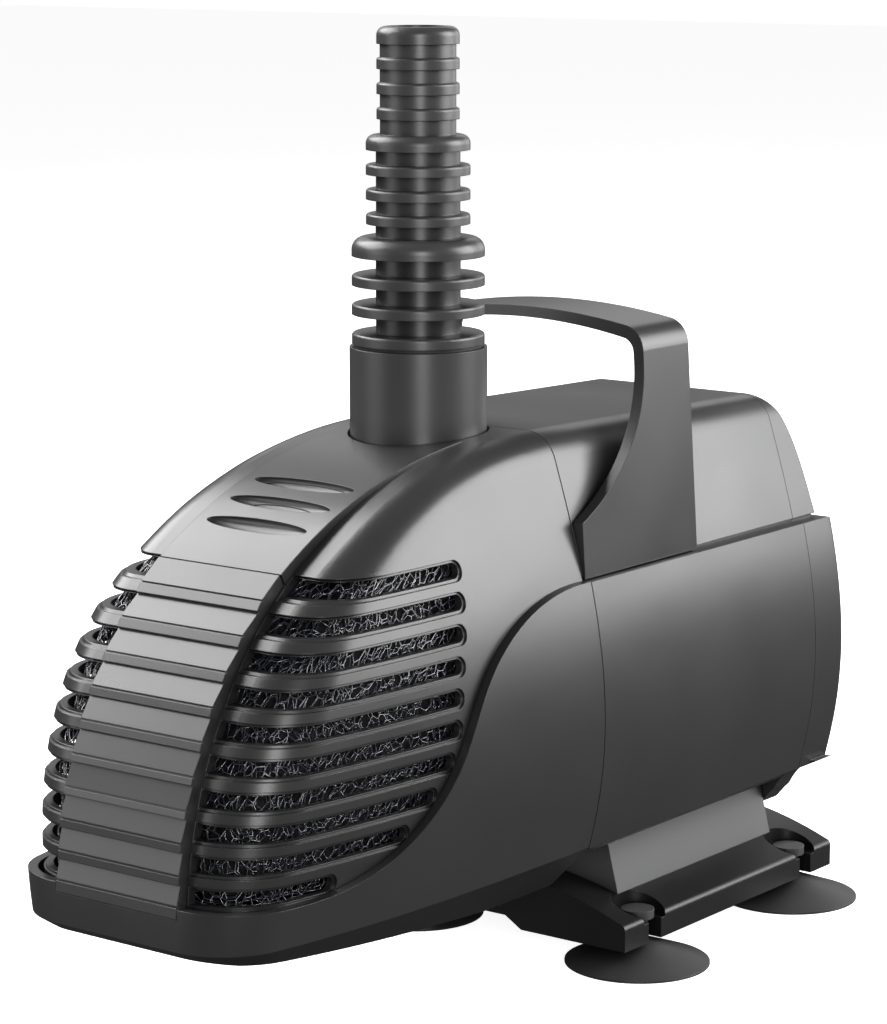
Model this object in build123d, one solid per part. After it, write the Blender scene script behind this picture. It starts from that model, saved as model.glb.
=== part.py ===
from build123d import *
from math import atan2, cos, degrees, hypot, pi, radians, sin
import os

# A pond and fountain pump that stands on four suction cups. All sizes are in millimetres.
# The model is built about the outlet: its axis is X = 0, Y = 0, the floor is Z = 0, the strainer's nose
# points to -Y. It is moved along Y at the end, so that the origin is the middle of the footprint.

# ---- Driving dimensions ----
nose_y = -110.2           # front face of the nose
seam_y = 13.0             # joint between the front housing and the motor housing
rear_seam_y = 110.5       # joint between the motor housing and the rear cover
rear_y = 126.0            # rear face of the rear cover, lower part
upper_rear_y = 121.5      # rear face of the rear cover, upper part, at the ledge
roof_fall = 0.024         # how much the roof drops per mm towards the rear
step_z = 103.6            # the ledge where the lower housing stands proud of the upper one
belly_z = 38.0            # lower edge of the sides
floor_z = 32.5            # underside of the motor housing
waist_z = 75.0            # height of the widest section, and of the rotor axis
waist_half = 44.0         # half width of the cage at the waist
proud = 2.5               # how far the lower housing stands outside the cage
wall = 2.4                # wall of the shells
gap = 0.3                 # clearance between pieces that move apart
pivot_y, pivot_z, fan_start = 40.0, 20.0, 20.0   # the front is lofted in planes that fan out from here
fan_steps = 18

band_half = 18.0          # half width of the armoured band on the nose
slot_pitch = 7.03         # spacing of the strainer's slots
slot_half = 1.8           # half height of a slot
slot_rim_half = 2.45      # half height of the shallow rim round a slot
slot_top_z = 113.1        # middle of the highest slot
slot_ends_y = [-32.4, -33.3, -34.9, -36.9, -38.5, -39.6, -42.4, -48.4, -57.1, -79.0]

pipe_r = 16.6             # outlet pipe
pipe_top_z = 158.6
pipe_step_z = 131.0        # the pipe is full size above this, inside the crown
tail_z = 159.4            # the hose tail starts on its seal
tail_top_z = 234.8
tail_bore_r = 7.3

cup_x, cup_ys = 35.6, (44.1, 116.7)
cup_r = 18.4
foot_half, foot_ys, foot_z = 40.9, (30.7, 129.8), 6.5

keel_z = 26.0
recess_x, recess_size = 57.0, (25.0, 25.0, 31.0)     # hollows for the fingers under the handle
groove_half, groove_depth, groove_height = 38.4, 1.2, 0.9       # shadow line above the ledge
neck_r = 13.0
socket_r = 13.4
shaft_r = 2.5
can_r = 17.0
potting_r = 35.4
rear_round = 3.0            # rounding of the rear cover's outer edge
handle_half, handle_top_half, handle_top_z, handle_corner, handle_t = 40.3, 36.3, 164.4, 6.5, 2.8
leg_foot_y, leg_front_y, leg_rear_y = seam_y + 0.5, 42.5, 62.5
bracket_ys = (43.2, 115.8)
gland_z = 88.0
housing_screw_places = [(-39.2, 53), (39.2, 53), (-38.2, 94), (38.2, 94)]
base_screw_places = [(x, y) for x in (-16, 16) for y in (54, 105)]
# Groups of four rings on the hose tail. The first ring of a group is a thin band under a dome.
# Ring radius, band height, top of the second ring, pitch, top of the first ring's dome
tail_groups = [(16.0, 2.6, 176.0, 7.0, 185.0), (12.5, 2.5, 202.3, 5.88, 209.3),
               (9.9, 2.75, 227.5, 5.9, tail_top_z)]
ring_round = 0.7
lead_band = 1.5

origin_y = (nose_y + cup_ys[1] + cup_r) / 2      # middle of the footprint, front to back

# Crown of the nose in the side view: (y, z, how deep the cage lies under the band, corner radius)
crown = [
    (22.0, 138.4, 0.0, 9.0),
    (-9.0, 137.6, 0.2, 9.0),
    (-31.3, 134.0, 0.9, 9.0),
    (-52.9, 127.1, 1.9, 10.0),
    (-67.0, 120.2, 2.7, 11.5),
    (-80.5, 110.9, 3.2, 13.0),
    (-92.9, 96.7, 3.3, 14.5),
    (-101.1, 82.4, 3.3, 16.0),
    (-106.4, 68.2, 3.3, 17.0),
    (-109.2, 53.8, 3.3, 17.0),
    (-110.2, 40.5, 3.3, 17.0),
    (-110.2, 27.0, 3.3, 17.0),
]

# Armoured band: upper and lower edges of its narrow strips in the side view, from the cap down
band_strips = [
    ((-80.3, 111.3), (-81.8, 109.4)), ((-87.1, 104.4), (-88.4, 102.4)), ((-92.6, 97.3), (-93.7, 95.5)),
    ((-97.3, 90.2), (-98.2, 88.5)), ((-100.9, 83.1), (-101.6, 81.4)), ((-104.0, 75.9), (-104.6, 74.4)),
    ((-106.4, 68.8), (-106.8, 67.2)), ((-108.1, 61.8), (-108.3, 59.9)), ((-109.0, 54.7), (-109.2, 52.8)),
    ((-109.8, 47.9), (-110.1, 45.4)),
]
band_top = (-74.0, 116.2)   # joint between the cap and the band
plate_step = 0.7            # each plate starts this far under the strip above it
groove = 0.45               # depth and width of the line above each strip

# The S-shaped edge between the cage and the proud lower housing, in the side view
s_edge = [(14.0, 103.6), (0.0, 103.0), (-17.6, 97.6), (-32.0, 86.5), (-42.9, 69.5), (-57.0, 56.2),
          (-77.0, 48.6), (-96.6, 47.4), (-113.0, 47.6)]

# Finger scoops: height of the crown there and its slope in degrees
scoop_places = [(-43.5, 130.5, 17.7), (-52.3, 127.4, 21.8), (-60.7, 123.6, 26.0)]
scoop_size = (14.8, 2.5, 2.2)

parts = {}


# ---- Shared shapes ----
def half_width(y, z):
    """Half width of the cage at a point of the side view."""
    rise = z - waist_z
    if rise > 0:
        width = waist_half - (hypot(10.2, 0.36 * rise) - 10.2)
    else:
        width = waist_half - 0.0032 * rise**2
    return width * (1 - 0.14 * (max(seam_y - y, 0) / 100) ** 3)


def fan_section(y, z, recess, radius, side, inset):
    """A closed section in the plane that holds the pivot line and the crown point (y, z)."""
    angle = atan2(z - pivot_z, y - pivot_y)
    top = hypot(y - pivot_y, z - pivot_z) - recess - inset
    points = []
    for share in (0.0, 0.35, 0.7, 1.0):
        reach = fan_start + (top - fan_start) * share
        width = half_width(pivot_y + reach * cos(angle), pivot_z + reach * sin(angle)) + side
        points.append((width, reach))
    right = Spline(*points)
    left = Spline(*[(-x, reach) for x, reach in points])
    roof = Line(points[-1], (-points[-1][0], top))
    base = Line((-points[0][0], fan_start), points[0])
    face = make_face([right, roof, left, base])
    corners = face.vertices().sort_by(Axis.Y)[-2:]
    face = fillet(corners, max(radius - inset, 1.0))
    plane = Plane((0, pivot_y, pivot_z), x_dir=(1, 0, 0), z_dir=(0, -sin(angle), cos(angle)))
    return plane * face


def crown_stations():
    """The crown curve cut into even steps, each with its recess and corner radius."""
    curve = Spline(*[(y, z) for y, z, _, _ in crown])
    marks = [curve.param_at_point((y, z)) for y, z, _, _ in crown]
    stations = []
    for step in range(fan_steps + 1):
        u = marks[0] + (marks[-1] - marks[0]) * step / fan_steps
        k = max(i for i in range(len(marks) - 1) if marks[i] <= u + 1e-9)
        share = (u - marks[k]) / (marks[k + 1] - marks[k])
        recess, radius = [crown[k][i] + (crown[k + 1][i] - crown[k][i]) * share for i in (2, 3)]
        point = curve.position_at(u)
        stations.append((point.X, point.Y, recess, radius))
    return stations


def fan(side=0.0, inset=0.0, recessed=True):
    """The nose as a solid: sides grown by side, crown lowered by inset, and by the recess if recessed."""
    return loft([fan_section(y, z, recess if recessed else 0.0, radius, side, inset)
                 for y, z, recess, radius in crown_stations()])


def side_prism(points, half=70.0):
    """A solid from an outline of (y, z) points, from -half to half along X."""
    outline = Plane.YZ * make_face(Polyline(*points, close=True))
    return extrude(outline, amount=half, both=True)


def box(x0, x1, y0, y1, z0, z1):
    middle = Pos((x0 + x1) / 2, (y0 + y1) / 2, (z0 + z1) / 2)
    return middle * Box(x1 - x0, y1 - y0, z1 - z0)


def rod(x, z, y0, y1, radius):
    """A cylinder along Y."""
    return Pos(x, (y0 + y1) / 2, z) * Rot(90, 0, 0) * Cylinder(radius, y1 - y0)


def tube(x, z, y0, y1, outer, inner):
    return rod(x, z, y0, y1, outer) - rod(x, z, y0 - 1, y1 + 1, inner)


def post(x, y, z0, z1, radius):
    """A cylinder along Z."""
    return Pos(x, y, (z0 + z1) / 2) * Cylinder(radius, z1 - z0)


def section_at(solid, y):
    """The face where a solid crosses the plane at y."""
    return section(solid, section_by=Plane((0, y, 0), x_dir=(1, 0, 0), z_dir=(0, -1, 0)))


def rearward(face, y0, y1, fall=0.0):
    """A face that lies at the seam, swept to span y0 to y1. It drops by fall for each mm."""
    start = Pos(0, y0 - seam_y, -fall * (y0 - seam_y))
    return start * extrude(face, amount=(y1 - y0) * hypot(1, fall), dir=(0, 1, -fall))


def under_s(drop=0.0):
    """Everything below the S-shaped edge, lowered and moved back by drop."""
    curve = Spline(*[(y + drop, z - drop) for y, z in s_edge])
    first, last = curve @ 0, curve @ 1
    rest = Polyline((last.X, last.Y), (-140, last.Y), (-140, -20), (40, -20), (40, first.Y),
                    (first.X, first.Y))
    outline = Plane.YZ * make_face([curve, rest])
    return extrude(outline, amount=70, both=True)


# ---- Front housing ----
housing_form = fan(side=proud, recessed=False)
housing_cavity = fan(side=proud - wall, inset=wall, recessed=False)
cage_form = fan()
cage_cavity = fan(side=-wall, inset=wall)
rim_depth_form = fan(side=-0.6, inset=0.6)
housing_section = section_at(housing_form, seam_y).face()
housing_hollow_section = section_at(housing_cavity, seam_y).face()
cage_section = section_at(cage_form, seam_y).face()
cage_hollow_section = section_at(cage_cavity, seam_y).face()
front_side = box(-70, 70, -140, seam_y - 0.15, 0, 160)


def slot_bars(half):
    """Slots from beyond the nose to their rounded rear ends, on both sides of the band."""
    bars = []
    for row, end_y in enumerate(slot_ends_y):
        z = slot_top_z - row * slot_pitch
        grow = half - slot_half
        length = end_y + grow + 130
        middle = end_y + grow - length / 2
        for side in (-1, 1):
            bar = extrude(Plane.YZ * Pos(middle, z) * SlotOverall(length, 2 * half), amount=40 * side)
            bars.append(Pos(side * (band_half + 0.4), 0, 0) * bar)
    return bars


def make_front_cover():
    """The strainer cage: a shell with ten long slots on each side."""
    shell = (cage_form - cage_cavity) & front_side
    shell -= under_s(3.0)
    shell -= [bar - rim_depth_form for bar in slot_bars(slot_rim_half)]
    shell -= slot_bars(slot_half)
    shell -= cap_pocket
    shell -= finger_scoops()
    shell -= post(0, 0, 100, 150, pipe_r + 0.5)
    return shell


def make_front_tub():
    """The proud lower part of the front housing, with its keel."""
    shell = (housing_form - housing_cavity) & under_s()
    shell &= box(-70, 70, -140, seam_y - 0.15, belly_z, 160)
    shell -= box(-band_half - 0.1, band_half + 0.1, -120, -95, band_strips[-1][1][1] - 0.1, 60)
    top = section(housing_form, section_by=Plane.XY.offset(belly_z)).face()
    bottom = Pos(0, 0, keel_z - belly_z) * scale(top, by=(0.72, 0.86, 1), about=(0, seam_y, belly_z))
    keel = loft([top, bottom], ruled=True) & box(-70, 70, -140, seam_y - 0.15, 0, belly_z)
    keel &= side_prism([(-120, 100), (-120, 38.5), (-100, 34.2), (-15, 26.4), (40, 26.4), (40, 100)])
    keel -= side_prism([(-86, 50), (-80, 35.6), (-15, 29.4), (5, 29.4), (5, 50)], half=24)
    return shell + keel


def make_band():
    """Stepped plates down the nose, each one starting under the edge of the strip above."""
    outline = [band_top]
    for upper, lower in band_strips:
        slope = atan2(lower[1] - upper[1], lower[0] - upper[0])
        inward = (sin(slope), -cos(slope))
        along = (cos(slope), sin(slope))
        before = (upper[0] - groove * along[0], upper[1] - groove * along[1])
        outline.append(before)
        outline.append((before[0] - groove * inward[0], before[1] - groove * inward[1]))
        outline.append((upper[0] - groove * inward[0], upper[1] - groove * inward[1]))
        outline.append(upper)
        outline.append(lower)
        if lower is not band_strips[-1][1]:
            outline.append((lower[0] - plate_step * inward[0], lower[1] - plate_step * inward[1]))
    outline += [(-100.0, band_strips[-1][1][1]), (-100.0, 60.0), (-60.4, 89.6)]
    return side_prism(outline, band_half) - cage_form


def finger_scoops():
    """Three shallow lens-shaped hollows across the crown."""
    hollow = scale(Sphere(1), by=scoop_size)
    return [Pos(0, y, z) * Rot(slope, 0, 0) * hollow for y, z, slope in scoop_places]


def make_cap():
    """The smooth panel between the band and the outlet, with three finger scoops."""
    return cap_slab - cage_cut - finger_scoops()


def domed(radius, z0, z1, rounding):
    """A disc with a rounded upper edge."""
    disc = post(0, 0, z0, z1, radius)
    return fillet(disc.edges().filter_by(GeomType.CIRCLE).sort_by(Axis.Z)[-1], rounding)


def make_hose_adaptor():
    """The three-step hose tail, with a threaded neck that goes down into the outlet pipe."""
    body = post(0, 0, tail_z, 188, 10.2) + post(0, 0, 186, 207, 10.1) + post(0, 0, 206, tail_top_z - 1, 9.1)
    body += post(0, 0, 146, tail_z + 1, socket_r - gap)
    for ring_r, band, second_z, pitch, tip_z in tail_groups:
        for ring in range(3):
            z1 = second_z - pitch * ring
            body += domed(ring_r, z1 - band, z1, ring_round)
        z0 = second_z - band + pitch
        body += domed(ring_r, z0, tip_z, min(tip_z - z0 - lead_band, 0.22 * ring_r))
    body -= post(0, 0, 140, 240, tail_bore_r)
    return body


def make_outlet_spigot():
    """The outlet pipe: it plugs onto the chamber's neck and takes the hose tail in its mouth."""
    body = post(0, 0, 108, pipe_step_z, 15.4) + post(0, 0, pipe_step_z, pipe_top_z, pipe_r)
    body -= post(0, 0, 107, 124.5, neck_r + 0.05)
    body -= post(0, 0, 120, 160, 9.5)
    body -= post(0, 0, 143.6, 160, socket_r)
    return body


def make_pump_chamber():
    """The volute: a round chamber with a neck on top."""
    body = rod(0, waist_z, -15, 12.5, 33) + post(0, 0, waist_z + 20, 124, neck_r)
    body -= rod(0, waist_z, -11, 14, 28)
    body -= rod(0, waist_z, -16, -10, 20.3)
    body -= post(0, 0, waist_z + 22, 130, 9.5)
    body -= [rod(x, z, -16, -11.6, 1.5) for x, z in ring_places(23, 3)]
    return body


def ring_places(radius, count):
    """Places of screws round the rotor axis, as (x, z)."""
    turns = [2 * pi * (k + 0.25) / count for k in range(count)]
    return [(radius * cos(t), waist_z + radius * sin(t)) for t in turns]


def make_impeller_cover():
    """The suction plate: an eye for the water, and a spider that carries the front bush."""
    body = rod(0, waist_z, -17.5, -15, 26) + rod(0, waist_z, -15, -11, 20.2)
    body -= rod(0, waist_z, -18, -10, 11)
    hub = rod(0, waist_z, -17.5, -11, 5.5)
    arms = [Pos(0, -14.25, waist_z) * Rot(0, turn, 0) * Pos(8, 0, 0) * Box(8, 6.5, 2.4)
            for turn in (0, 120, 240)]
    body = body + hub + arms
    body -= rod(0, waist_z, -15.5, -10, 4.0)
    body -= [rod(x, z, -18, -14, 1.5) for x, z in ring_places(23, 3)]
    return body


def make_impeller():
    """Six swept vanes on a disc and a hub."""
    body = rod(0, waist_z, -8.5, 9.0, 6.5) + rod(0, waist_z, 2.5, 4.5, 24)
    vane = Pos(15, 0, 0) * Rot(0, 25, 0) * Box(17, 9.5, 1.6)
    body += [Pos(0, -2, waist_z) * Rot(0, 60 * k, 0) * vane for k in range(6)]
    return body - rod(0, waist_z, -10, 10, shaft_r)


def screws(places, y_head, y_tip, head_r=2.8, shank_r=1.45):
    """Pan-head screws along Y, as a group of separate solids. The head lies outside y_head."""
    out = 1 if y_tip > y_head else -1
    group = []
    for x, z in places:
        head = rod(x, z, *sorted((y_head - 2.2 * out, y_head)), head_r)
        slot = Pos(x, y_head - 2.2 * out, z) * (Box(4, 2, 0.8) + Box(0.8, 2, 4))
        group.append(head + rod(x, z, *sorted((y_head, y_tip)), shank_r) - slot)
    return Compound(children=group)


def make_handle():
    """A strap bent over the housing, with legs that sweep forward at the bottom."""
    outer = strap(handle_half, handle_top_half, handle_top_z, handle_corner)
    inner = strap(handle_half - handle_t, handle_top_half - handle_t, handle_top_z - handle_t,
                  handle_corner - handle_t)
    bent = extrude(Plane.XZ * (outer - inner), amount=70, both=True)
    front = Spline((leg_foot_y, 117.4), (24.7, 123.5), (35.7, 133.6), (39.7, 140.2), (leg_front_y, 152.0))
    rest = Polyline((leg_front_y, 152.0), (leg_front_y, 190), (leg_rear_y, 190), (leg_rear_y, step_z + 0.3),
                    (leg_foot_y, step_z + 0.3), (leg_foot_y, 117.4))
    side = extrude(Plane.YZ * make_face([front, rest]), amount=70, both=True)
    return bent & side


def strap(foot_half, top_half, top_z, corner):
    """The area under the strap's arched outline."""
    spring_z = top_z - 3.6
    arch = ThreePointArc((-top_half, spring_z), (0, top_z), (top_half, spring_z))
    legs = Polyline((top_half, spring_z), (foot_half, 100), (-foot_half, 100), (-top_half, spring_z))
    face = make_face([arch, legs])
    return fillet(face.vertices().sort_by(Axis.Y)[-2:], corner)


def make_lower_housing():
    """The proud motor housing: barrel sides, a flat floor and a deck at the ledge."""
    shell = rearward(housing_section, seam_y + 0.15, rear_seam_y - 0.15)
    shell &= box(-70, 70, 0, 130, floor_z, step_z)
    hollow = rearward(housing_hollow_section, seam_y - 1, rear_seam_y + 5)
    room = box(-70, 70, 0, 130, belly_z + 1.5, step_z - wall)
    room += box(-27, 27, 0, 130, floor_z + wall, belly_z + 2)
    shell -= hollow & room
    shell -= underside_coves()
    shell -= rod(0, waist_z, seam_y + 4, 95, potting_r + 0.6)
    shell += [rod(x, z, seam_y + 3.0, rear_seam_y - 0.15, 4.6) & rearward(housing_section, 10, 112)
              for x, z in housing_screw_places]
    shell -= [rod(x, z, seam_y - 1, seam_y + 16, 1.45) for x, z in housing_screw_places]
    shell -= [rod(x, z, rear_seam_y - 16, rear_seam_y + 2, 1.45) for x, z in housing_screw_places]
    return shell


def underside_coves():
    """The two coves that draw the sides in to the narrow floor."""
    cove = make_face([Spline((46, belly_z - 0.4), (36, 35.2), (31, 29.0)),
                      Polyline((31, 29.0), (31, 10), (60, 10), (60, belly_z - 0.4), (46, belly_z - 0.4))])
    right = Pos(0, 70, 0) * extrude(Plane.XZ * cove, amount=70, both=True)
    return [right, mirror(right, about=Plane.YZ)]


def ledge_groove():
    """The shadow line that runs round the upper housing just above the ledge."""
    core = box(-groove_half, groove_half, 0, upper_rear_y - groove_depth, step_z - 1, step_z + 2)
    return box(-70, 70, seam_y, rear_y + 1, step_z, step_z + groove_height) - core


def make_upper_housing():
    """The narrower upper housing, with a finger scoop beside each leg of the handle."""
    block = rearward(cage_section, seam_y + 0.15, rear_seam_y - 0.15, roof_fall)
    block &= box(-70, 70, 0, 130, step_z, 160)
    block -= ledge_groove()
    room = rearward(cage_hollow_section, 67, rear_seam_y + 5, roof_fall)
    room += box(-23, 23, seam_y + 3, 68, 90, 134)
    block -= room & box(-70, 70, 0, 130, 90, 160)
    hollow = scale(Sphere(1), by=recess_size)
    block -= [Pos(side * recess_x, 44, 112) * hollow for side in (-1, 1)]
    block -= handle_clearance()
    block -= post(0, 0, 100, 160, pipe_r + 0.6)
    return block


def handle_clearance():
    """Room for the handle's legs in the sides of the upper housing."""
    inside = strap(handle_half - handle_t - 0.1, handle_top_half - handle_t - 0.1, handle_top_z - handle_t, 3)
    outside = extrude(Plane.XZ * (strap(60, 60, 200, 2) - inside), amount=130, both=True)
    foot = box(-60, 60, leg_foot_y - 0.1, leg_rear_y + 0.1, step_z - 1, 117.6)
    return (foot & outside) + make_handle()


def make_rear_cover():
    """The end cap of the motor housing, with a short keel."""
    lower = rearward(housing_section, rear_seam_y, rear_y) & box(-70, 70, 0, 140, floor_z, step_z)
    lower -= underside_coves()
    lower = fillet(lower.faces().sort_by(Axis.Y)[-1].edges(), rear_round)
    upper = rearward(cage_section, rear_seam_y, upper_rear_y + 2, roof_fall)
    upper &= box(-70, 70, 0, 140, step_z - 1, 160)
    lean = Spline((upper_rear_y + 0.6, step_z - 1), (120.2, 117.0), (116.8, 129.5), (109.0, 138.4))
    front = Polyline((109.0, 138.4), (90, 150), (90, step_z - 1), (upper_rear_y + 0.6, step_z - 1))
    upper &= extrude(Plane.YZ * make_face([lean, front]), amount=70, both=True)
    body = lower + (upper - ledge_groove())
    flank = Spline((44, belly_z + 0.5), (36, 35.2), (31, 29.0))
    other = Spline((-44, belly_z + 0.5), (-36, 35.2), (-31, 29.0))
    bottom = Polyline((31, 29.0), (29.5, 27.5), (27, 24.6), (20, 22.6), (-20, 22.6), (-27, 24.6),
                      (-29.5, 27.5), (-31, 29.0))
    keel = make_face([flank, bottom, other, Line((-44, belly_z + 0.5), (44, belly_z + 0.5))])
    body += bar(keel, bracket_ys[1] + 0.4, rear_y - 1.8)
    body -= box(-34, 34, rear_seam_y - 1, rear_y - 3.0, floor_z + 8, step_z - 6)
    body -= [rod(x, z, rear_seam_y - 1, rear_y + 1, 1.6) + rod(x, z, rear_y - 2.6, rear_y + 1, 3.2)
             for x, z in housing_screw_places]
    body -= rod(0, gland_z, rear_seam_y - 1, rear_y + 1, 6.1)
    return body


def make_motor_flange():
    """The plate that closes the motor, with a plug for the chamber's open rear."""
    plate = rearward(housing_hollow_section, seam_y + 0.35, seam_y + 2.9)
    plate &= box(-70, 70, 0, 20, belly_z + 1.5, step_z - wall)
    plate += rod(0, waist_z, 6.5, seam_y + 0.1, 28 - gap - 0.1) + rod(0, waist_z, 8, seam_y + 2.9, 25.5)
    plate -= Pos(0, 9.6, waist_z) * Rot(90, 0, 0) * Torus(26.9, 1.0)
    plate -= rod(0, waist_z, 4, seam_y + 4, can_r + 1.3)
    plate -= [rod(x, z, seam_y, seam_y + 4, 1.6) for x, z in housing_screw_places]
    return plate


def bar(face, y0, y1):
    """A face drawn in X and Z, drawn out along Y."""
    return Pos(0, (y0 + y1) / 2, 0) * extrude(Plane.XZ * face, amount=(y1 - y0) / 2, both=True)


def make_base_plate():
    """The foot: an arched plate with four keyholes that take the stems of the cups."""
    y0, y1 = foot_ys
    arch = ThreePointArc((-foot_half, 13.0), (0, 21.0), (foot_half, 13.0))
    under = Polyline((foot_half, 13.0), (foot_half, foot_z), (9, foot_z), (4, 9.5), (-4, 9.5), (-9, foot_z),
                     (-foot_half, foot_z), (-foot_half, 13.0))
    body = bar(make_face([arch, under]), y0, y1)
    body = fillet(body.edges().filter_by(Axis.Y).group_by(Axis.Z)[-1], 1.5)
    for y in cup_ys:
        for side in (-1, 1):
            body -= box(*sorted((side * cup_x, side * 45)), y - 2.8, y + 2.8, 0, 30)
            body -= post(side * cup_x, y, 0, 30, 2.8)
            body -= post(side * cup_x, y, foot_z + 5.2, 30, 7.0)
            body -= box(*sorted((side * cup_x, side * 45)), y - 4.5, y + 4.5, foot_z + 5.2, 30)
    pockets = [box(-27, 27, 60, 99, 0, 15), box(-11, 11, 46, 61, 0, 17), box(-11, 11, 98, 113, 0, 17)]
    body -= pockets
    body -= [post(x, y, 0, 30, 1.6) + post(x, y, 0, 9.5, 3.1) for x, y in base_screw_places]
    return body


def make_base_bracket():
    """The saddle between the foot and the housing, with flat leaning cheeks."""
    outline = make_face(Polyline((-30.6, 15), (-26.2, floor_z), (26.2, floor_z), (30.6, 15), close=True))
    body = bar(outline, *bracket_ys)
    arch = ThreePointArc((-foot_half, 13.0), (0, 21.0), (foot_half, 13.0))
    under = Polyline((foot_half, 13.0), (foot_half, 0), (-foot_half, 0), (-foot_half, 13.0))
    body -= bar(make_face([arch, under]), 0, 140)
    body -= box(-22, 22, 60, 99, 15, 30)
    return body - [post(x, y, 0, 30, 1.45) for x, y in base_screw_places]


def make_cup(x, y):
    """A suction cup: a thin cone on a stem with a button head."""
    profile = Polyline((0, 14.0), (4.2, 14.0), (4.2, 11.8), (2.6, 11.75), (2.6, 6.4), (3.4, 6.1),
                       (cup_r, 0.5), (cup_r, 0), (cup_r - 1.2, 0), (3.0, 4.2), (0, 4.6), close=True)
    return Pos(x, y, 0) * revolve(Plane.XZ * make_face(profile), Axis.Z)


def crown_slab(inset):
    """The crown's outline in the side view lowered by inset, as a prism as wide as the band."""
    points = []
    for y, z, _, _ in crown[:-2]:
        angle = atan2(z - pivot_z, y - pivot_y)
        points.append((y - inset * cos(angle), z - inset * sin(angle)))
    curve = Spline(*points)
    rest = Polyline(points[-1], (pivot_y, pivot_z), points[0])
    return extrude(Plane.YZ * make_face([curve, rest]), amount=band_half, both=True)


def make_foam():
    """The filter foam, a thick pad that lines the cage behind its slots."""
    block = box(-70, 70, -140, -20, 47, 160)
    return (block & fan(side=-wall - 0.5, inset=wall + 0.5)) - fan(side=-wall - 12, inset=wall + 12)


cap_zone = box(-70, 70, -76, -6, 90, 150) - post(0, 0, 100, 150, pipe_r + 0.6)
above_joint = side_prism([(-73.6, 116.6), (-60, 90), (20, 90), (20, 160), (-100, 160)])
cap_slab = (crown_slab(0) - crown_slab(6)) & cap_zone & above_joint
cap_pocket = (crown_slab(-4) - crown_slab(1.3)) & cap_zone & above_joint

parts["front_cover"] = make_front_cover()
cage_cut = cage_form - cap_pocket
parts["spine_cap"] = make_cap()
parts["spine_band"] = make_band()
parts["front_tub"] = make_front_tub()
parts["filter_foam"] = make_foam()
parts["pump_chamber"] = make_pump_chamber()
parts["impeller_cover"] = make_impeller_cover()
parts["impeller_cover_screws"] = screws(ring_places(23, 3), -17.5, -11.8)
parts["front_bush"] = tube(0, waist_z, -15.4, -11.0, 4.0, shaft_r + 0.05)
parts["outlet_spigot"] = make_outlet_spigot()
parts["outlet_seal"] = post(0, 0, pipe_top_z, tail_z, 15.5) - post(0, 0, 150, 165, socket_r)
parts["hose_adaptor"] = make_hose_adaptor()
parts["impeller"] = make_impeller()
parts["rotor_shaft"] = rod(0, waist_z, -15.2, 88, shaft_r)
parts["rotor_magnet"] = tube(0, waist_z, 22, 76, can_r - 0.8, shaft_r)
parts["thrust_washer"] = tube(0, waist_z, -10.6, -8.5, 4.5, shaft_r)
parts["chamber_seal"] = Pos(0, 9.6, waist_z) * Rot(90, 0, 0) * Torus(26.9, 0.8)
parts["rear_bush"] = tube(0, waist_z, 80, 87, 5.0, shaft_r + 0.05)
can = rod(0, waist_z, 8, 91, can_r + 1.2) - rod(0, waist_z, 7, 80, can_r) - rod(0, waist_z, 79, 89, 5.0)
parts["rotor_can"] = can
parts["stator_core"] = tube(0, waist_z, 28, 70, 33, can_r + 1.4)
coils = [tube(0, waist_z, y0, y0 + 7, 30, can_r + 1.6) for y0 in (20.4, 70.4)]
parts["stator_windings"] = Compound(children=coils)
potting = tube(0, waist_z, 18, 94, potting_r, 33.2) + rod(0, waist_z, 91.4, 94, 34)
parts["motor_potting"] = potting
parts["motor_flange"] = make_motor_flange()
parts["lower_housing"] = make_lower_housing()
parts["upper_housing"] = make_upper_housing()
parts["handle"] = make_handle()
parts["rear_cover"] = make_rear_cover()
parts["flange_screws"] = screws(housing_screw_places, seam_y + 0.35, seam_y + 14)
parts["rear_cover_screws"] = screws(housing_screw_places, rear_y - 2.6, rear_seam_y - 14)
gland = rod(0, gland_z, rear_y - 4, 130.5, 6.0) + rod(0, gland_z, rear_y, 128.6, 8.6)
parts["cable_gland"] = gland - rod(0, gland_z, 100, 140, 3.6)
nut = extrude(Plane.XZ * RegularPolygon(9.2, 6), amount=-3.2)
parts["gland_nut"] = Pos(0, 130.6, gland_z) * nut - rod(0, gland_z, 100, 140, 3.6)
parts["base_plate"] = make_base_plate()
parts["base_bracket"] = make_base_bracket()
parts["base_screws"] = Compound(children=[post(x, y, 7.0, 9.4, 2.9) + post(x, y, 9.4, 26, 1.4)
                                          for x, y in base_screw_places])
for place, y in zip(("front", "rear"), cup_ys):
    for hand, side in (("left", -1), ("right", 1)):
        parts[f"suction_cup_{place}_{hand}"] = make_cup(side * cup_x, y)

os.makedirs("parts", exist_ok=True)
for name, shape in parts.items():
    export_step(Pos(0, -origin_y, 0) * shape, f"parts/{name}.step")
    low, high = shape.bounding_box().min, shape.bounding_box().max
    print(f"{name:24s} solids {len(shape.solids())} volume {shape.volume:9.0f} "
          f"y {low.Y:7.1f} {high.Y:7.1f}  z {low.Z:6.1f} {high.Z:6.1f}  x {low.X:6.1f} {high.X:6.1f}")
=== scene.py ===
import bmesh
import bpy
import random
from math import cos, pi, radians, sin
from mathutils import Euler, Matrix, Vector
from mathutils.bvhtree import BVHTree


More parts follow.
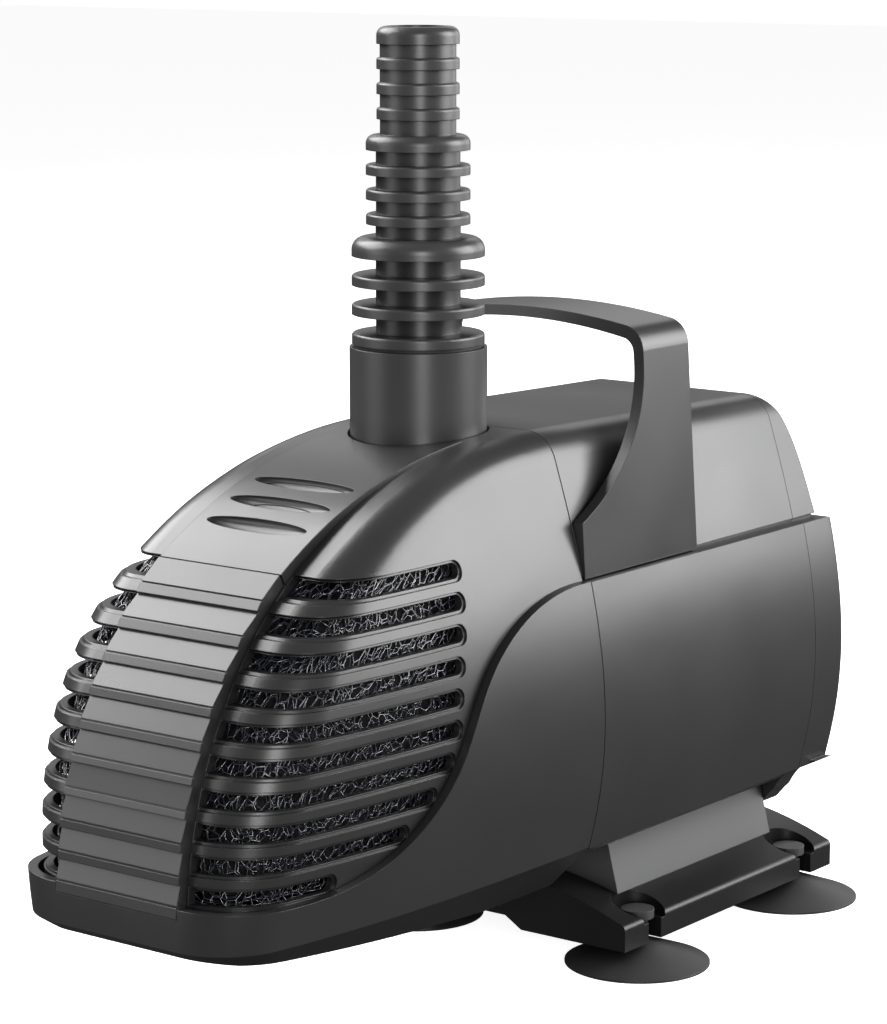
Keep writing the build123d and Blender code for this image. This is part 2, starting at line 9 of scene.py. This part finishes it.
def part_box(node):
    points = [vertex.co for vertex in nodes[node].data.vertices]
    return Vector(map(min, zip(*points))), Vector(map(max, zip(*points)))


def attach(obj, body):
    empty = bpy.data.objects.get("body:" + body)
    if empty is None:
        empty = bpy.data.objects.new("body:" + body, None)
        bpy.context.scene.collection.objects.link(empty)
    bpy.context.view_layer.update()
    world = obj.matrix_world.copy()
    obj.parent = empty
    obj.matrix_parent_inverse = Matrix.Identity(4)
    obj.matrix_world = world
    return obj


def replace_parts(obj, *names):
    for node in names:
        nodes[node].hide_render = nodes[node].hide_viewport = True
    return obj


# A pond and fountain pump in a white studio. Lengths are in metres.

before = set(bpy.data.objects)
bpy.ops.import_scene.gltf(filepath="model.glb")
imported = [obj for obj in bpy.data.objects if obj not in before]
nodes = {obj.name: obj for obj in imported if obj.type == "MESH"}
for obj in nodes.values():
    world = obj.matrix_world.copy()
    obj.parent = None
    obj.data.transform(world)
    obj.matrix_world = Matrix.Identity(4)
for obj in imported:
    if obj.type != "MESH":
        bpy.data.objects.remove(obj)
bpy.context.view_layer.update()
MM = 0.001

# ---- Driving values ----
# Moulded plastic
flow_scale = 24                     # flow marks, in cycles to the metre
grain_scale = 2400                  # spark-eroded grain
grain_depth = 0.06 * MM
crease_shade_reach = 7 * MM               # how far painted shade darkens the wall beside a crease
crease_shade_black = (0.003, 0.003, 0.003, 1)

# Filter foam
foam_step = 5.1 * MM                # spacing of the foam's sheets of struts, before they are cut into cells
foam_row_share = 0.98               # height of a row, as a share of the spacing
foam_strut = 0.34 * MM              # thickness of a strut
foam_depths = (0.3 * MM, 1.5 * MM, 2.8 * MM)
foam_scatter = 0.28                 # how far a joint of the foam strays, as a share of its cell
foam_thickness = 1.3 * MM           # how far a joint may lie below its sheet
foam_wander = 0.28 * MM             # how far a cell's corner strays once it is cut
foam_length = 118 * MM              # from the nose band round the corner and back along the side
foam_lift = 0.4 * MM                # the lowest joints, above the foam's bottom face
foam_cut = 33                       # how much of each strut a cell's corner cuts away, in percent
core_inset = 3.4 * MM               # from the foam's face to its near-black core of painted shade

# The foam's plan: a short flat beside the nose band, a rounded corner, then the straight side.
nose_flat = 5 * MM
nose_corner = 17 * MM
corner_half_width = 21 * MM         # the corner's centre, from the pump's middle
nose_half_width = 18 * MM           # where the nose's front face is found at each height
nose_start, side_start, corner_start = 0.2, 0.1, 0.08       # where the search for the foam's face begins
longest_search = 0.2


# ---- Materials ----
def new_material(name, colour, roughness, specular=0.5):
    """A node material with its constants set on the shader."""
    material = bpy.data.materials.new(name)
    material.use_nodes = True
    tree = material.node_tree
    shader = tree.nodes["Principled BSDF"]
    shader.inputs["Base Color"].default_value = (*colour, 1)
    shader.inputs["Roughness"].default_value = roughness
    shader.inputs["Specular IOR Level"].default_value = specular
    return material, tree, shader


def add(tree, kind, **inputs):
    """A node with some of its inputs set or linked. An underscore stands for a space in an input's name."""
    node = tree.nodes.new(kind)
    for key, value in inputs.items():
        socket = node.inputs[key.replace("_", " ")]
        if isinstance(value, bpy.types.NodeSocket):
            tree.links.new(value, socket)
        else:
            socket.default_value = value
    return node


def object_noise(tree, scale, detail=3.0, rough=0.55):
    """Noise fixed to the piece."""
    place = tree.nodes.new("ShaderNodeTexCoord")
    return add(tree, "ShaderNodeTexNoise", Vector=place.outputs["Object"], Scale=scale, Detail=detail,
               Roughness=rough)


def spread(tree, source, low, high, first, second):
    """Maps a value between low and high to one between first and second."""
    node = add(tree, "ShaderNodeMapRange", Value=source, From_Min=low, From_Max=high, To_Min=first,
               To_Max=second)
    return node.outputs["Result"]


def two_tones(tree, factor, colour, change):
    """A colour that wanders between a darker and a lighter tone."""
    dark, light = [tuple(min(c * k, 1) for c in colour) + (1,) for k in (1 - change, 1 + change)]
    return add(tree, "ShaderNodeMixRGB", Fac=factor, Color1=dark, Color2=light).outputs["Color"]


def moulded(name, colour, roughness, grain=0.12, edge=0.28, change=0.12, specular=0.5):
    """Injection-moulded plastic or rubber: fine grain, faint flow marks, painted shade in creases, softened
    edges.
    """
    material, tree, shader = new_material(name, colour, roughness, specular)
    flow = object_noise(tree, flow_scale, 4.0)
    tone = two_tones(tree, flow.outputs["Fac"], colour, change)
    # Painted shade: ambient occlusion blends the colour towards near black in creases and recesses.
    crease_shade = add(tree, "ShaderNodeAmbientOcclusion", Color=tone, Distance=crease_shade_reach)
    crease_shade.samples = 6
    openness = spread(tree, crease_shade.outputs["AO"], 0.35, 0.95, 0.15, 1.0)
    shade = add(tree, "ShaderNodeMixRGB", Fac=openness, Color1=crease_shade_black, Color2=tone)
    tree.links.new(shade.outputs["Color"], shader.inputs["Base Color"])
    tree.links.new(spread(tree, flow.outputs["Fac"], 0.0, 1.0, roughness - 0.08, roughness + 0.09),
                   shader.inputs["Roughness"])
    bevel = add(tree, "ShaderNodeBevel", Radius=edge * MM)
    bevel.samples = 4
    bump = add(tree, "ShaderNodeBump", Height=object_noise(tree, grain_scale, 2.0).outputs["Fac"],
               Strength=grain, Distance=grain_depth, Normal=bevel.outputs["Normal"])
    tree.links.new(bump.outputs["Normal"], shader.inputs["Normal"])
    return material


def metal(name, colour, roughness, streaks):
    """Metal with fine turned or rolled streaks."""
    material, tree, shader = new_material(name, colour, roughness)
    shader.inputs["Metallic"].default_value = 1.0
    place = tree.nodes.new("ShaderNodeTexCoord")
    stretch = add(tree, "ShaderNodeMapping", Vector=place.outputs["Object"], Scale=streaks)
    lines = add(tree, "ShaderNodeTexNoise", Vector=stretch.outputs["Vector"], Scale=300.0, Detail=2.0)
    tree.links.new(spread(tree, lines.outputs["Fac"], 0.2, 0.8, roughness - 0.08, roughness + 0.12),
                   shader.inputs["Roughness"])
    bump = add(tree, "ShaderNodeBump", Height=lines.outputs["Fac"], Strength=0.2, Distance=0.05 * MM)
    tree.links.new(bump.outputs["Normal"], shader.inputs["Normal"])
    return material


def foam_gloss():
    """Foam struts: near black, with the glaze that gives them their glints."""
    tone = (0.04, 0.042, 0.055)
    material, tree, shader = new_material("foam_struts", tone, 0.16, 1.0)
    specks = object_noise(tree, 700, 2.0)
    tree.links.new(two_tones(tree, specks.outputs["Fac"], tone, 0.9), shader.inputs["Base Color"])
    tree.links.new(spread(tree, specks.outputs["Fac"], 0.35, 0.65, 0.08, 0.35), shader.inputs["Roughness"])
    shader.inputs["Coat Weight"].default_value = 1.0
    shader.inputs["Coat Roughness"].default_value = 0.08
    return material


def foam_depth():
    """The foam's depth behind its outer cells: dull black pores, made darker than the black struts as
    painted shade.
    """
    material, tree, shader = new_material("foam_shade_core", (0.004, 0.004, 0.005), 0.8, 0.2)
    place = tree.nodes.new("ShaderNodeTexCoord")
    pores = add(tree, "ShaderNodeTexVoronoi", Vector=place.outputs["Object"], Scale=450.0)
    tree.links.new(two_tones(tree, pores.outputs["Distance"], (0.006, 0.006, 0.007), 0.9),
                   shader.inputs["Base Color"])
    bump = add(tree, "ShaderNodeBump", Height=pores.outputs["Distance"], Strength=1.0, Distance=1.0 * MM)
    tree.links.new(bump.outputs["Normal"], shader.inputs["Normal"])
    return material


def dress(node_names, material):
    """Gives nodes their finish."""
    for name in node_names:
        slots = nodes[name].data.materials
        slots.clear()
        slots.append(material)


# Outside
dress(["front_cover", "spine_band", "spine_cap", "front_tub", "upper_housing", "lower_housing", "rear_cover",
       "handle"], moulded("charcoal_plastic", (0.032, 0.032, 0.0325), 0.30))
dress(["outlet_spigot", "hose_adaptor"], moulded("hose_tail_plastic", (0.050, 0.050, 0.051), 0.33))
dress(["base_plate", "cable_gland", "gland_nut"],
      moulded("black_plastic", (0.010, 0.010, 0.0105), 0.36, specular=0.35))
dress(["base_bracket"], moulded("bracket_plastic", (0.062, 0.062, 0.063), 0.5))
dress([f"suction_cup_{place}_{hand}" for place in ("front", "rear") for hand in ("left", "right")],
      moulded("cup_rubber", (0.05, 0.05, 0.051), 0.45, grain=0.25))
# Wet end and motor
dress(["outlet_seal", "chamber_seal", "front_bush", "rear_bush"],
      moulded("seal_rubber", (0.012, 0.012, 0.012), 0.6, grain=0.3))
dress(["pump_chamber", "impeller_cover", "rotor_can", "motor_flange"],
      moulded("inner_plastic", (0.03, 0.03, 0.033), 0.45))
dress(["impeller"], moulded("impeller_plastic", (0.42, 0.42, 0.40), 0.4))
dress(["rotor_shaft", "thrust_washer"], moulded("ceramic", (0.75, 0.73, 0.68), 0.2, grain=0.02, change=0.04))
dress(["motor_potting"], moulded("potting_resin", (0.02, 0.02, 0.022), 0.2, grain=0.03))
dress(["rotor_magnet"], metal("ferrite", (0.10, 0.10, 0.105), 0.5, (1, 6, 1)))
dress(["stator_core"], metal("core_steel", (0.30, 0.30, 0.31), 0.4, (0.2, 14, 0.2)))
dress(["stator_windings"], metal("enamelled_copper", (0.72, 0.32, 0.14), 0.28, (0.3, 12, 0.3)))
dress(["impeller_cover_screws", "flange_screws", "rear_cover_screws", "base_screws"],
      metal("screw_steel", (0.62, 0.61, 0.59), 0.3, (1, 8, 1)))


# ---- Filter foam ----
def finish_mesh(mesh, name, material, body):
    """Makes a bmesh a piece that rides on a body."""
    data = bpy.data.meshes.new(name)
    mesh.to_mesh(data)
    mesh.free()
    data.materials.append(material)
    piece = bpy.data.objects.new(name, data)
    bpy.context.scene.collection.objects.link(piece)
    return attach(piece, body)


def surface_of(name):
    """A node's surface, ready for rays."""
    mesh = bmesh.new()
    mesh.from_mesh(nodes[name].data)
    surface = BVHTree.FromBMesh(mesh)
    mesh.free()
    return surface


def foam_place(surface, side, along, height):
    """The point and inward direction on the foam's outer face, along from the band round to the rear."""
    rearward = Vector((0, 1, 0))
    front = surface.ray_cast(Vector((side * nose_half_width, -nose_start, height)), rearward)[0]
    if front is None:
        return None
    corner = Vector((side * corner_half_width, front.y + nose_corner, height))
    turn = (along - nose_flat) / nose_corner
    if turn < 0:
        start = Vector((side * (corner_half_width + along - nose_flat), -nose_start, height))
        inward = rearward
    elif turn < pi / 2:
        inward = Vector((-side * sin(turn), cos(turn), 0))
        start = corner - corner_start * inward
    else:
        start = Vector((side * side_start, corner.y + along - nose_flat - nose_corner * pi / 2, height))
        inward = Vector((-side, 0, 0))
    hit = surface.ray_cast(start, inward)[0]
    if hit is None or (hit - start).length > longest_search:
        return None
    return hit, inward


def strut_layer(surface, side, depth, seed):
    """One sheet of foam cells that follows the foam's outer face, depth below it."""
    low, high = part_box("filter_foam")
    rows, columns = int((high.z - low.z) / foam_step), int(foam_length / foam_step)
    mesh = bmesh.new()
    bmesh.ops.create_grid(mesh, x_segments=columns, y_segments=rows, size=0.5)
    chance = random.Random(seed)
    lost = []
    for vert in mesh.verts:
        column, row = (vert.co.x + 0.5) * columns, (vert.co.y + 0.5) * rows
        along = (column + 0.5 * (round(row) % 2) + chance.uniform(-foam_scatter, foam_scatter)) * foam_step
        height = low.z + (row + chance.uniform(-foam_scatter, foam_scatter)) * foam_step * foam_row_share
        height = max(height, low.z + foam_lift)
        place = foam_place(surface, side, along, height)
        if place is None:
            lost.append(vert)
            continue
        hit, inward = place
        vert.co = hit + inward * (depth + chance.uniform(0, foam_thickness))
    bmesh.ops.delete(mesh, geom=lost, context="VERTS")
    bmesh.ops.triangulate(mesh, faces=mesh.faces, quad_method="SHORT_EDGE")
    bmesh.ops.bevel(mesh, geom=mesh.verts, offset=foam_cut, offset_type="PERCENT", affect="VERTICES",
                    segments=1, profile=0.5, material=-1, clamp_overlap=True)
    for vert in mesh.verts:
        vert.co += Vector([chance.uniform(-foam_wander, foam_wander) for _ in range(3)])
    bmesh.ops.wireframe(mesh, faces=mesh.faces, thickness=foam_strut, use_replace=True, use_boundary=True,
                        use_even_offset=True, use_relative_offset=False)
    return mesh


def make_foam():
    """Sheets of glossy struts on each side, over a near-black core of painted shade that stands for the
    foam's depth.
    """
    surface = surface_of("filter_foam")
    gloss = foam_gloss()
    dull = foam_depth()
    for side, hand in ((1, "right"), (-1, "left")):
        sheet = bpy.data.meshes.new("strut_sheet")
        layers = bmesh.new()
        for number, depth in enumerate(foam_depths):
            layer = strut_layer(surface, side, depth, 31 * number + side)
            layer.to_mesh(sheet)
            layer.free()
            layers.from_mesh(sheet)
        bpy.data.meshes.remove(sheet)
        for face in layers.faces:
            face.smooth = True
        finish_mesh(layers, f"foam_struts_{hand}", gloss, "front_housing")
    # Painted shade: the core is a near-black sheet inset below the foam's face, standing for its shaded
    # depth.
    core = bmesh.new()
    core.from_mesh(nodes["filter_foam"].data)
    bmesh.ops.remove_doubles(core, verts=core.verts, dist=0.01 * MM)
    core.normal_update()
    for vert in core.verts:
        vert.co -= vert.normal * core_inset
    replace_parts(finish_mesh(core, "foam_shade_core", dull, "front_housing"), "filter_foam")


make_foam()


# ---- Studio ----
def camera_only(tree, otherwise, shown):
    """A value that the camera's own rays see as shown, and every other ray sees otherwise."""
    seen = tree.nodes.new("ShaderNodeLightPath").outputs["Is Camera Ray"]
    return spread(tree, seen, 0.0, 1.0, otherwise, shown)


def make_floor():
    """Pale paper that bounces little light up on to the pump."""
    mesh = bmesh.new()
    bmesh.ops.create_grid(mesh, x_segments=1, y_segments=1, size=6)
    data = bpy.data.meshes.new("floor")
    mesh.to_mesh(data)
    mesh.free()
    floor = bpy.data.objects.new("floor", data)
    bpy.context.scene.collection.objects.link(floor)
    material, tree, shader = new_material("floor_paper", (0.9, 0.9, 0.9), 0.9, 0.1)
    bounce = add(tree, "ShaderNodeMixRGB", Fac=camera_only(tree, 0.0, 1.0), Color1=(0.03, 0.03, 0.03, 1),
                 Color2=(0.95, 0.95, 0.95, 1))
    tree.links.new(bounce.outputs["Color"], shader.inputs["Base Color"])
    tree.links.new(camera_only(tree, 0.0, 0.88), shader.inputs["Emission Strength"])
    shader.inputs["Emission Color"].default_value = (1, 1, 1, 1)
    data.materials.append(material)


def soft_box(name, place, target, size, watts):
    """A rectangular light aimed at a point."""
    light = bpy.data.lights.new(name, "AREA")
    light.shape = "RECTANGLE"
    light.size, light.size_y = size
    light.energy = watts
    lamp = bpy.data.objects.new(name, light)
    lamp.location = place
    lamp.rotation_euler = (Vector(place) - Vector(target)).to_track_quat("Z", "Y").to_euler()
    lamp.visible_camera = False
    bpy.context.scene.collection.objects.link(lamp)


def make_world(glow, backdrop):
    """A white backdrop that lights the pump only by its faint glow."""
    world = bpy.data.worlds.new("studio")
    world.use_nodes = True
    tree = world.node_tree
    sky = tree.nodes["Background"]
    sky.inputs["Color"].default_value = (1, 1, 1, 1)
    tree.links.new(camera_only(tree, glow, backdrop), sky.inputs["Strength"])
    bpy.context.scene.world = world


def make_camera(place, tilt_down, turn, focal_length):
    """The studio camera, tilted down from level and turned from the pump's nose. Angles are in degrees."""
    lens = bpy.data.cameras.new("camera")
    lens.lens, lens.sensor_width = focal_length, 36.0
    lens.clip_start, lens.clip_end = 0.01, 20
    camera = bpy.data.objects.new("camera", lens)
    camera.location = place
    camera.rotation_euler = Euler((radians(90 - tilt_down), 0, radians(turn)))
    bpy.context.scene.collection.objects.link(camera)
    bpy.context.scene.camera = camera


make_floor()
# Each light: where it stands, what it is aimed at, its size and its power in watts.
# The first three model the roof, the near side and the hose tail, and the rest fill the far sides.
soft_box("left", (-0.92, -0.15, 0.92), (0, 0, 0.1), (1.3, 0.72), 26)
soft_box("right", (0.88, 0.78, 0.54), (0, 0, 0.12), (0.9, 0.85), 23)
soft_box("front", (1.05, -1.1, 0.42), (0, 0, 0.14), (0.42, 0.9), 15)
soft_box("low_left", (-0.9, -1.1, 0.3), (0, 0, 0.12), (0.8, 0.6), 4)
soft_box("rear", (0.2, 1.5, 0.4), (0, 0, 0.12), (1.0, 0.7), 5)
soft_box("back", (-0.75, 1.1, 0.72), (0, 0, 0.1), (0.9, 0.5), 1.6)
make_world(glow=0.08, backdrop=1.0)
make_camera((0.4891, -0.64635, 0.2624), tilt_down=10.23, turn=37.22, focal_length=117.8)
bpy.context.scene.view_settings.view_transform = "Standard"
